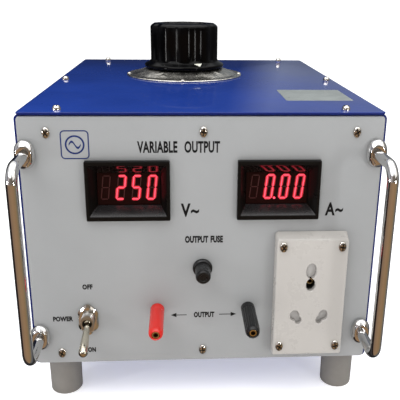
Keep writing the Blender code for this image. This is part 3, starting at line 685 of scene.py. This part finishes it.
def bar_outline(segment, thickness, gap):
    """Pointed bar of one display segment, about the digit's middle."""
    ends = SEGMENTS[segment]
    first = Vector(((ends[0] - 0.5) * DIGIT_WIDTH, (ends[1] - 1) * DIGIT_HALF))
    last = Vector(((ends[2] - 0.5) * DIGIT_WIDTH, (ends[3] - 1) * DIGIT_HALF))
    along = (last - first).normalized()
    side = Vector((-along.y, along.x)) * thickness / 2
    near, far = first + along * gap, last - along * gap
    shoulder = along * thickness / 2
    points = [near, near + shoulder + side, far - shoulder + side, far,
              far - shoulder - side, near + shoulder - side]
    return [(point.x + DIGIT_LEAN * point.y, point.y) for point in points]


def digits(text, height, thickness, gap, back, front, shown):
    """Bars of the segments of a display that are lit, or of those that are not."""
    bars = []
    for index, numeral in enumerate(text):
        x = (index - 1.5) * DIGIT_PITCH
        for segment in SEGMENTS:
            if (segment in NUMERALS[numeral]) is not shown:
                continue
            outline = [(x + px, height + py) for px, py in bar_outline(segment, thickness, gap)]
            bars.append(prism(outline, back, front))
    return bars


def build_meter(name, text, point_after):
    """Bezel with a funnel mouth, filter window, and lit and dark segments, with a painted glow round the
    lit ones and on the dark ones, and painted light on the mouth's upward faces.
    """
    x, height = on_front(f"{name}_case")
    face = FRONT_Y - low(f"{name}_case").y
    face_top = face - 0.6
    window_drop = 1.5
    window = (52.9, 28.3)
    drop = (0, -window_drop)
    rise = (0, 0.3)
    mouth = (64, 44)
    rings = [rectangle(63.8, 45.8, -50, 0.8), rectangle(63.8, 45.8, 0.3, 0.8),
             rectangle(69.7, 51.7, 0.3, 1)]
    for inset, back in ((0, 1), (0.12, 0.5), (0.4, 0.15), (0.9, 0)):
        rings.append(rectangle(69.7 - 2 * inset, 51.7 - 2 * inset, face - back, 1))
    rings += [rectangle(mouth[0] + 0.8, mouth[1] + 0.8, face, 0.9, rise),
              rectangle(mouth[0], mouth[1], face - 0.4, 0.8, rise),
              rectangle(window[0] + 0.4, window[1] + 0.4, -7.8, 0.5, drop),
              rectangle(window[0] + 0.5, window[1] + 0.5, -8.1, 0.5, drop),
              rectangle(window[0] + 0.5, window[1] + 0.5, -19.5, 0.5, drop)]
    place = FRONT @ at(x, height, 0)
    bezel = loft(rings, angle=28)
    paint(bezel, meter_black, mirror_black, satin_black_painted_light)
    # Painted light: in the mouth, faces that look up take the lighter satin copy, and faces that look down
    # take the polished moulding.
    for face in bezel.polygons:
        centre = face.center / MM
        if -8 < centre.z < face_top and abs(centre.y) < mouth[1] / 2 + rise[1]:
            if abs(face.normal.y) > 0.5:
                face.material_index = 2 if face.normal.y > 0 else 1
    add(f"{name}_bezel", bezel, meter_black, f"{name}_case", place)
    plane = -8.3
    add(f"{name}_window", slab(*window, -19, plane, 0.4, 0.2, drop, both=False),
        red_filter, f"{name}_display", place)
    middle_height = 1.35 - window_drop
    dark = digits(text, middle_height, 0.85, 0.3, plane, plane + 0.06, False)
    bright = digits(text, middle_height, 0.85, 0.25, plane, plane + 0.14, True)
    # Painted glow: wide bars under the lit segments, as a halo.
    painted_halo = digits(text, middle_height, 3, -0.4, plane, plane + 0.03, True)
    if point_after is not None:
        spot = ((point_after - 1.5) * DIGIT_PITCH + 4.4, middle_height - DIGIT_HALF)
        bright.append(oval(1, 1, spot, plane, plane + 0.14))
    for part, bars, shader in (("segments_off", dark, unlit_painted_glow), ("segments_on", bright, lit),
                               ("segments_painted_glow", painted_halo, painted_glow)):
        add(f"{name}_{part}", joined(*bars), shader, matrix=place)


# ---- Switch, fuse, posts and socket ----
def thread(radius, depth, low_z, high_z, pitch):
    """Profile of V grooves, from high to low."""
    points = []
    count = int((high_z - low_z) / pitch)
    for index in range(count):
        z = high_z - index * pitch
        points += [(radius, z), (radius, z - pitch * 0.25), (radius - depth, z - pitch * 0.6)]
    return points


def build_switch():
    """Toggle switch with a threaded bush, ringed hexagon nut and bat lever."""
    def hexagon(turn, radius, z):
        """Hexagon, with its corners turned off where radius is below them, and taller than wide."""
        if radius < 7:
            return radius
        across, up = cos(turn), sin(turn) / 1.6
        part = ((atan2(up, across) + pi / 6) % (pi / 3)) - pi / 6
        return min(8.7 / cos(part), radius) / hypot(across, up)

    def oblong(turn, radius, z):
        """Taller than it is wide in front of the nut."""
        if z < 3.7 or radius < 5:
            return radius
        return radius / hypot(cos(turn), sin(turn) / 1.5)

    x, height = on_front("switch_nut")
    place = FRONT @ at(x, height, 0)
    front = 9.5
    bore = 4.3
    bush = [(bore, front), (5.5, front)]
    bush += thread(5.9, 0.35, 3.6, front - 0.4, 0.75)
    bush += [(5.9, 3.4), (5.9, -2.5), (bore, -2.5)]
    depth = high("switch_body").y - FRONT_Y
    neck = 2.3
    body = box((18, 30, depth - neck), (0, 0, -(depth + neck) / 2), 0.8)
    cup = oval(bore, bore, (0, 0), -6.4, 1)
    add("switch_housing", joined(cut(body, cup), lathe(bush, 48, True, oblong)), steel,
        "switch_body", place)

    nut = rounded([(6.2, 3.5), (7.6, 3.5), (9.7, 2.2), (9.7, 0.9), (9.2, 0.35), (6.2, 0.35)])
    add("switch_hexagon_nut", lathe(nut, 72, True, hexagon, 25), nickel, "switch_nut", place)

    ball = 3.5
    length = 37
    tip = 4
    points = [*arc(0, 0, ball, -90, 54, 8), (2.4, 5), (2.8, 12), (3.6, 24),
              *arc(0, length - tip, tip, 11.25, 90, 7)]
    add("switch_bat_lever", lathe(points, 40), satin_chrome, "switch_lever",
        place @ at(0, 0, 5) @ turned(radians(20), "X"), "power_lever")


def build_fuse():
    """Panel fuse holder and its ribbed cap."""
    x, height = on_front("fuse_holder")
    place = FRONT @ at(x, height, 0)
    back = -34
    holder = rounded([(5.2, 3.4), (7.2, 3.4, 0.5), (8.6, 2, 0.6), (8.6, 0.3), (6.3, 0.3),
                      (6.3, back, 0.8), (2, back), (2, back + 4), (5.2, back + 4)])
    add("fuse_barrel", lathe(holder, 48, True), black_plastic, "fuse_holder", place)

    def ribbed(turn, radius, z):
        """Ribs round the grip of the cap."""
        if radius > 6.2 and 5.2 < z < 18:
            return radius - 0.22 * (0.5 + 0.5 * cos(24 * turn))
        return radius

    top = 20.5
    cap = rounded([(0, top - 0.7), (2.9, top - 0.7), (3.3, top, 0.3), (5.3, top, 1),
                   (6.5, top - 2.4, 1), (6.6, 5), (6.6, 3.7), (0, 3.7)])
    slot = box((1, 6, 2), (0, 0, top))
    add("fuse_grip", cut(lathe(cap, 96, shape=ribbed), slot), black_plastic,
        "fuse_cap", place, "fuse_top")


def build_post(name, shader, knurled):
    """Binding post: metal stud with a plug bore, and the insulated cap."""
    x, height = on_front(f"{name}_post_base")
    place = FRONT @ at(x, height, 0)
    reach = 44
    stud = rounded([(2.1, 43), (3.1, 43, 0.3), (3.2, 5.2), (3.2, 5), (4.9, 5), (4.9, 0.5), (3.4, 0.5),
                    (3.4, -18), (2.1, -18)])
    collar = rounded([(5, 5), (6.1, 5, 0.3), (6.2, 0.3), (5, 0.3)])
    add(f"{name}_post_collar", lathe(collar, 48, True), shader, matrix=place)
    plug = oval(2.12, 2.12, (0, 0), -17, 22)
    add(f"{name}_post_stud", joined(lathe(stud, 40, True), plug), brass,
        f"{name}_post_base", place)

    def grip(turn, radius, z):
        """Flutes round the cap."""
        if knurled and radius > 5.6 and 8 < z < 41:
            return radius - 0.38 * (0.5 + 0.5 * cos(18 * turn)) ** 2
        return radius

    low_z = 5.3
    step_z = reach - 5.7
    radius = 6.2
    outside = [(3.5, reach - 0.6), (4, reach, 0.4), (radius - 1.9, reach, 1.2),
               (radius - 0.2, reach - 2.8, 1.6), (radius, reach - 6), (radius, 20), (radius, 9),
               (radius, 7.6, 0.3), (radius - 0.4, 7.2), (radius, 6.6), (radius, low_z, 0.4)]
    inside = [(5.3, low_z), (5.3, step_z), (3.5, step_z)]
    cap = lathe(rounded(outside + inside), 108 if knurled else 64, True, grip)
    add(f"{name}_post_grip", cap, shader, f"{name}_post_cap", place, f"{name}_top")


def build_socket():
    """Socket plate with flared pin holes, and a plug and a sleeve behind its earth holes."""
    x, height = on_front("socket_plate")
    place = FRONT @ at(x, height, 0)
    width, tall, face = 63, 118, 10
    rings = []
    for z, side, top, foot in ((0.3, 0.25, 0.25, 0.25), (0.6, 0, 0, 0), (4, 0.15, 1.5, 0.3),
                               (8.6, 0.45, 3.6, 1.2), (9.35, 0.6, 4.1, 2.2),
                               (9.8, 0.85, 4.5, 3.2), (10, 1.4, 5.1, 4.4)):
        rings.append(rectangle(width - 2 * side, tall - top - foot, z, 2.8,
                               (0, (foot - top) / 2), 1.6, 5))
    wall = 5.5
    tools, rooms = [], []
    shutter = high("socket_shutter").z - CASE_Z - height
    for low_y, high_y in ((1, 35), (shutter - 29.6, shutter + 0.4)):
        for group in (tools, rooms):
            group.append(box((37, high_y - low_y, 30), (0, (low_y + high_y) / 2, wall - 15)))
    earth = [(0, 25, 4.6, 7.3), (0, 12, 4.1, 6)]
    live = [(side * spread, drop, *half_size) for side in (1, -1)
            for spread, drop, *half_size in ((12.7, -18, 4.1, 5.3), (9.4, -22.4, 2.9, 4))]
    for hole_x, hole_y, half_width, half_height in earth + live:
        tools.append(oval(half_width, half_height, (hole_x, hole_y), 2, face, 0.45, 40))
    rear = cut(box((46, 86, 24), (0, 0, -10), 0.6), *rooms)
    plate = joined(cut(loft(rings), *tools), rear)
    add("socket_face", plate, white_plastic, "socket_plate", place)
    plug = oval(5.4, 7.2, (0, 25), -6, 5.3)
    add("socket_earth_plug", plug, shutter_plastic, matrix=place)
    sleeve = lathe(rounded([(2.6, 2, 0.3), (2.6, -14), (1.9, -14), (1.9, 2, 0.3)]), 32, True)
    add("socket_earth_sleeve", sleeve, brass, matrix=place @ at(0.9, 12, 0))


# ---- Knob and dial plate ----
def build_knob():
    """Lobed control knob on a flared skirt, with a moulded pointer, over the dished plate."""
    radius = 38.5
    skirt = 45
    lift = 9.8
    top = high("control_knob").z - LID_Z
    collar = lift + 5.6

    def lobes(turn, reach, z):
        """Ten lobes with narrow hollows between them."""
        share = min(max((z - collar - 1) / 2, 0), 1)
        share *= min(max((reach - 20) / 10, 0), 1)
        hollow = (0.5 + 0.5 * cos(10 * turn)) ** 1.6
        return reach - 1.7 * hollow * share

    profile = rounded([(0, top - 1.4), (24, top - 1.4, 0.6), (25.5, top, 0.5), (34.6, top, 1),
                       (radius, top - 2.6, 1.6), (radius, top - 12), (radius, top - 24),
                       (radius, collar + 3), (radius + 0.2, collar + 0.6, 1),
                       (skirt - 0.6, lift + 3.2, 0.8), (skirt, lift + 2, 0.5), (skirt - 0.1, lift, 0.5),
                       (40, lift), (40, lift + 2), (10, lift + 2), (10, lift), (5.4, lift),
                       (5.3, top - 10), (0, top - 10)])
    add("knob_body", lathe(profile, 240, shape=lobes, angle=34), gloss_black,
        "control_knob", KNOB, "control")

    outline = [(-4.6, 0), (4.6, 0), (0.4, -5.6), (-0.4, -5.6)]
    pointer = prism(outline, 0, 0.5)
    slope = atan2(2.4, 6)
    place = KNOB @ turned(radians(22), "Z") @ at(0, -radius - 0.6, collar + 0.35) @ turned(slope, "X")
    add("knob_pointer", pointer, white_ink, None, place, "control")

    rise = 8.5
    rim = 65.5
    sheet = 1.2
    plate = rounded([(9.6, rise), (40, rise, 3), (43, rise - 0.5, 2), (56, 3, 4), (58.5, 2.2, 1),
                     (64.6, 1.6, 0.8), (rim, 0.9, 0.4), (rim - 0.2, 0.3), (61, 0.3), (59.5, 0.8),
                     (42.4, rise - sheet - 0.5), (39.8, rise - sheet), (9.6, rise - sheet)], 5)
    add("dial_dish", lathe(plate, 128, True), dial_metal, "dial_plate", KNOB)
    mesh = screw_mesh(2.6, 1.2, 2, 1.4)
    for side, bearing in (("left", 183), ("right", 357), ("front", 268), ("rear", 90)):
        turn = radians(bearing)
        spot = at(62.6 * cos(turn), 62.6 * sin(turn), 1.5)
        add(f"dial_fixing_{side}", mesh, nickel, place=KNOB @ spot @ turned(turn + 0.5, "Z"))


# ---- Mains inlet ----
def build_inlet():
    """Appliance inlet and its blades."""
    point = middle("mains_inlet")
    place = REAR @ at(-point.x, point.z - CASE_Z, 0)
    face = high("mains_inlet").y - REAR_Y
    depth = 16
    flange = slab(50, 30, 0.3, face, 3, 0.8)
    shroud = box((30, 23, 26), (0, 0, -11), 1)
    outline = [(-12.2, -8.2), (12.2, -8.2), (12.2, 4.2), (8.2, 8.2), (-8.2, 8.2), (-12.2, 4.2)]
    mouth = prism(outline, face - depth, face + 1)
    body = joined(cut(flange, mouth), cut(shroud, mouth.copy()))
    add("inlet_shroud", body, black_plastic, "mains_inlet", place)
    centres = [(x, y, face - depth + 5.25) for x, y in ((-6.2, -2), (0, 2), (6.2, -2))]
    blades = [box((2, 4, 12.5), centre, 0.4) for centre in centres]
    add("inlet_blades", joined(*blades), nickel, matrix=place)


# ---- Printing ----
def lettering(text, width, height, weight=0.012, spacing=1):
    """Thin mesh of a line of text, centred, and scaled to a width and a height."""
    curve = bpy.data.curves.new("lettering", 'FONT')
    curve.body = text
    curve.offset = weight
    curve.extrude = 0.01
    curve.space_character = spacing
    curve.space_word = 1.3
    curve.resolution_u = 3
    holder = linked("lettering", curve)
    graph = bpy.context.evaluated_depsgraph_get()
    mesh = bpy.data.meshes.new_from_object(holder.evaluated_get(graph))
    bpy.data.objects.remove(holder, do_unlink=True)
    bpy.data.curves.remove(curve)
    work = bmesh.new()
    work.from_mesh(mesh)
    bmesh.ops.remove_doubles(work, verts=work.verts, dist=1e-6)
    xs = [vertex.co.x for vertex in work.verts]
    ys = [vertex.co.y for vertex in work.verts]
    scale = Vector((width / (max(xs) - min(xs)), height / (max(ys) - min(ys)))) * MM
    for vertex in work.verts:
        vertex.co.x = (vertex.co.x - (max(xs) + min(xs)) / 2) * scale.x
        vertex.co.y = (vertex.co.y - (max(ys) + min(ys)) / 2) * scale.y
        vertex.co.z = INK * MM if vertex.co.z > 0 else 0
    work.to_mesh(mesh)
    work.free()
    mesh.materials.clear()
    return mesh


INK = 0.06
WORDS = (("caption_title", "VARIABLE  OUTPUT", -20.2, 201.9, 67.5, 10, 0.034, 1.05),
         ("caption_volts", "V~", -11.2, 147, 15.4, 12, 0.032, 1.15),
         ("caption_amps", "A~", 112.1, 147, 15.6, 12, 0.032, 1.15),
         ("caption_fuse", "OUTPUT FUSE", 0.8, 120.3, 32.6, 6.5, 0.055, 1.05),
         ("caption_output", "OUTPUT", 1.2, 47.5, 18.4, 5.6, 0.055, 1.1),
         ("caption_off", "OFF", -100.6, 76.7, 8.8, 5, 0.055, 1.1),
         ("caption_on", "ON", -99.9, 14, 7, 5, 0.055, 1.1),
         ("caption_power", "POWER", -123.6, 45.7, 17.5, 5, 0.055, 1.05))


def build_printing():
    """Captions, arrows and a sign for alternating current on the front, and a blank label."""
    for name, text, x, height, wide, tall, weight, spacing in WORDS:
        mesh = lettering(text, wide, tall, weight, spacing)
        add(name, mesh, ink, matrix=FRONT @ at(x, height, 0))
    for side, start, end in (("left", -14.4, -28.5), ("right", 14.7, 30)):
        way = 1 if end > start else -1
        neck = end - way * 5
        outline = [(start, 47.15), (neck, 47.15), (neck, 45.4), (end, 47.5), (neck, 49.6),
                   (neck, 47.85), (start, 47.85)]
        add(f"arrow_{side}", prism(outline, 0, INK), ink, matrix=FRONT)

    place = FRONT @ at(-104, 204, 0)
    outer = rectangle(23, 24, 0, 3.4)
    inner = rectangle(21, 22, 0, 2.4)
    rings = [[(x, y, z) for x, y, _ in ring]
             for ring, z in ((outer, 0), (outer, INK), (inner, INK), (inner, 0))]
    border = loft(rings, closed=True)
    circle = lathe([(7.9, 0), (7.9, INK), (6.5, INK), (6.5, 0)], 56, True)
    wave = []
    count = 28
    for edge in (0.95, -0.95):
        line = []
        for step in range(count + 1):
            share = step / count
            line.append(((share - 0.5) * 9.6, 2.6 * sin(2 * pi * share) + edge))
        wave += line if edge > 0 else line[::-1]
    add("sign_alternating_current", joined(border, circle, prism(wave, 0, INK)), blue_ink,
        matrix=place)

    label = slab(61, 61, 0.02, 0.16, 2, 0.04, both=False)
    add("cover_label", label, label_foil, matrix=LID @ at(106.5, 84, 0))


# ---- Carried-over nodes ----
KEPT = {"ring_core": core_steel, "winding": enamel_wire, "transformer_base": aluminium,
        "shaft_bushing": brass, "control_shaft": steel, "brush_arm": aluminium,
        "carbon_brush": carbon, "terminal_block": white_plastic,
        "current_transformer": black_plastic, "fuse_carrier": black_plastic, "fuse_link": glass,
        "red_post_insert": brass, "black_post_insert": brass, "socket_shutter": shutter_plastic}

build_case()
build_feet()
build_handles()
build_screws()
build_meter("voltmeter", " 250", None)
build_meter("ammeter", " 000", 1)
build_switch()
build_fuse()
build_post("red", red_plastic, False)
build_post("black", black_plastic, True)
build_socket()
build_knob()
build_inlet()
build_printing()
for kept_name, kept_shader in KEPT.items():
    for index in range(len(NODES[kept_name].material_slots)):
        NODES[kept_name].material_slots[index].material = kept_shader.material


# ---- Camera, light and floor ----
def build_camera():
    """Camera at the photograph's viewing angle."""
    yaw, pitch, roll = (radians(value) for value in (3.54, 18.05, 0.69))
    ahead = Vector((sin(yaw) * cos(pitch), cos(yaw) * cos(pitch), -sin(pitch)))
    right = Vector((cos(yaw), -sin(yaw), 0.0))
    up = right.cross(ahead)
    right, up = (cos(roll) * right + sin(roll) * up, cos(roll) * up - sin(roll) * right)
    data = bpy.data.cameras.new("camera")
    data.sensor_width = 36.0
    data.lens = 55.27
    data.shift_x = -0.0435
    data.shift_y = -0.0278
    camera = linked("camera", data)
    turn = Matrix((right, up, -ahead)).transposed().to_4x4()
    camera.matrix_world = Matrix.Translation((-0.0184, -0.6545, 0.3675)) @ turn
    bpy.context.scene.camera = camera


def area_light(name, power, size, place, aim, colour=(1.0, 1.0, 1.0)):
    """Rectangular light that the camera doesn't see."""
    data = bpy.data.lights.new(name, 'AREA')
    data.shape = 'RECTANGLE'
    data.size, data.size_y = size
    data.energy = power
    data.color = colour
    lamp = linked(name, data)
    lamp.location = place
    lamp.rotation_mode = 'QUATERNION'
    lamp.rotation_quaternion = (Vector(aim) - Vector(place)).to_track_quat("-Z", "Y")
    lamp.visible_camera = False


def build_world():
    """Pale surroundings for the camera; for light and reflections, a room in soft bands."""
    world = bpy.data.worlds.new("room")
    world.use_nodes = True
    bpy.context.scene.world = world
    tree = world.node_tree
    tree.nodes.clear()

    def node(kind, settings=(), **links):
        return add_node(tree, kind, settings, **links)

    def blend(value, start, end, kind='LINEAR'):
        """Share of the way from start to end."""
        return node("ShaderNodeMapRange", {"interpolation_type": kind}, _0=value, _1=start, _2=end,
                    _3=0.0, _4=1.0).outputs[0]

    def ramp(value, stops):
        """Colours at their shares of the way round."""
        made = node("ShaderNodeValToRGB", Fac=value)
        elements = made.color_ramp.elements
        elements[0].position, elements[0].color = stops[0][0], (*stops[0][1], 1.0)
        elements[1].position, elements[1].color = stops[-1][0], (*stops[-1][1], 1.0)
        for position, colour in stops[1:-1]:
            elements.new(position).color = (*colour, 1.0)
        return made.outputs["Color"]

    direction = node("ShaderNodeTexCoord").outputs["Generated"]
    parts = node("ShaderNodeSeparateXYZ", Vector=direction).outputs
    bearing = node("ShaderNodeMath", {"operation": 'ARCTAN2'}, _0=parts["X"], _1=parts["Y"])
    share = blend(bearing.outputs[0], -pi, pi)
    # Bearings run from behind the viewer (0), by the left (0.25) and the back (0.5), to the right.
    walls = ramp(share, ((0.0, (0.20, 0.17, 0.14)), (0.06, (0.16, 0.14, 0.12)),
                         (0.10, (0.60, 0.54, 0.54)), (0.15, (0.50, 0.46, 0.47)),
                         (0.19, (0.10, 0.10, 0.11)), (0.24, (0.55, 0.55, 0.58)),
                         (0.30, (0.30, 0.30, 0.32)), (0.38, (0.012, 0.014, 0.02)),
                         (0.517, (0.012, 0.016, 0.03)), (0.527, (0.22, 0.24, 0.26)),
                         (0.535, (0.18, 0.195, 0.21)), (0.66, (0.22, 0.22, 0.22)),
                         (0.76, (0.32, 0.30, 0.27)), (0.86, (0.10, 0.08, 0.06)),
                         (1.0, (0.20, 0.17, 0.14))))
    bench = ramp(share, ((0.0, (0.345, 0.215, 0.12)), (0.12, (0.29, 0.185, 0.11)),
                         (0.165, (0.26, 0.17, 0.12)), (0.205, (0.012, 0.008, 0.007)),
                         (0.27, (0.012, 0.01, 0.01)), (0.31, (0.08, 0.07, 0.07)),
                         (0.36, (0.02, 0.02, 0.02)), (0.62, (0.03, 0.03, 0.03)),
                         (0.70, (0.13, 0.13, 0.14)), (0.75, (0.16, 0.15, 0.15)),
                         (0.79, (0.23, 0.185, 0.11)), (0.90, (0.325, 0.20, 0.105)),
                         (1.0, (0.345, 0.215, 0.12))))
    horizon = blend(parts["Z"], -0.10, 0.08, 'SMOOTHSTEP')
    sides = node("ShaderNodeMix", {"data_type": 'RGBA'}, Factor=horizon, _6=bench, _7=walls).outputs[2]
    ceiling = blend(parts["Z"], 0.50, 0.70, 'SMOOTHSTEP')
    room = node("ShaderNodeMix", {"data_type": 'RGBA'}, Factor=ceiling, _6=sides,
                _7=(1.0, 1.0, 1.0, 1.0)).outputs[2]
    for_camera = node("ShaderNodeLightPath").outputs["Is Camera Ray"]
    seen = node("ShaderNodeBackground", Color=(0.93, 0.93, 0.93, 1.0), Strength=1.0)
    light = node("ShaderNodeBackground", Color=room, Strength=1.1)
    chosen = node("ShaderNodeMixShader", _0=for_camera, _1=light.outputs[0], _2=seen.outputs[0])
    node("ShaderNodeOutputWorld", Surface=chosen.outputs[0])


def build_floor():
    """Plain pale floor."""
    work = bmesh.new()
    bmesh.ops.create_circle(work, cap_ends=True, segments=64, radius=40.0)
    mesh = bpy.data.meshes.new("floor")
    work.to_mesh(mesh)
    work.free()
    shader = Shader("pale_floor", (0.93, 0.93, 0.93, 1.0), 0.85, Emission_Strength=0.42,
                    Emission_Color=(1.0, 1.0, 1.0, 1.0))
    paint(mesh, shader)
    floor = linked("floor", mesh)
    floor.visible_glossy = False


build_camera()
build_world()
build_floor()
area_light("key", 10.0, (1.2, 0.9), (-0.7, -1.1, 1.5), (0.0, 0.0, 0.15))
area_light("fill", 5.0, (1.4, 1.0), (1.2, -0.9, 1.2), (0.0, 0.0, 0.15), (1.0, 0.98, 0.95))
area_light("overhead", 46.0, (3.0, 3.0), (0.0, -0.2, 2.6), (0.0, -0.2, 0.0))
for side, strip_x, strip_y in (("left", -0.72, -0.45), ("right", 0.55, -0.75)):
    area_light(f"strip_{side}", 0.85, (0.05, 0.14), (strip_x, strip_y, 0.25), (*KNOB.translation.xy, 0.30))
bpy.context.scene.view_settings.view_transform = 'Standard'
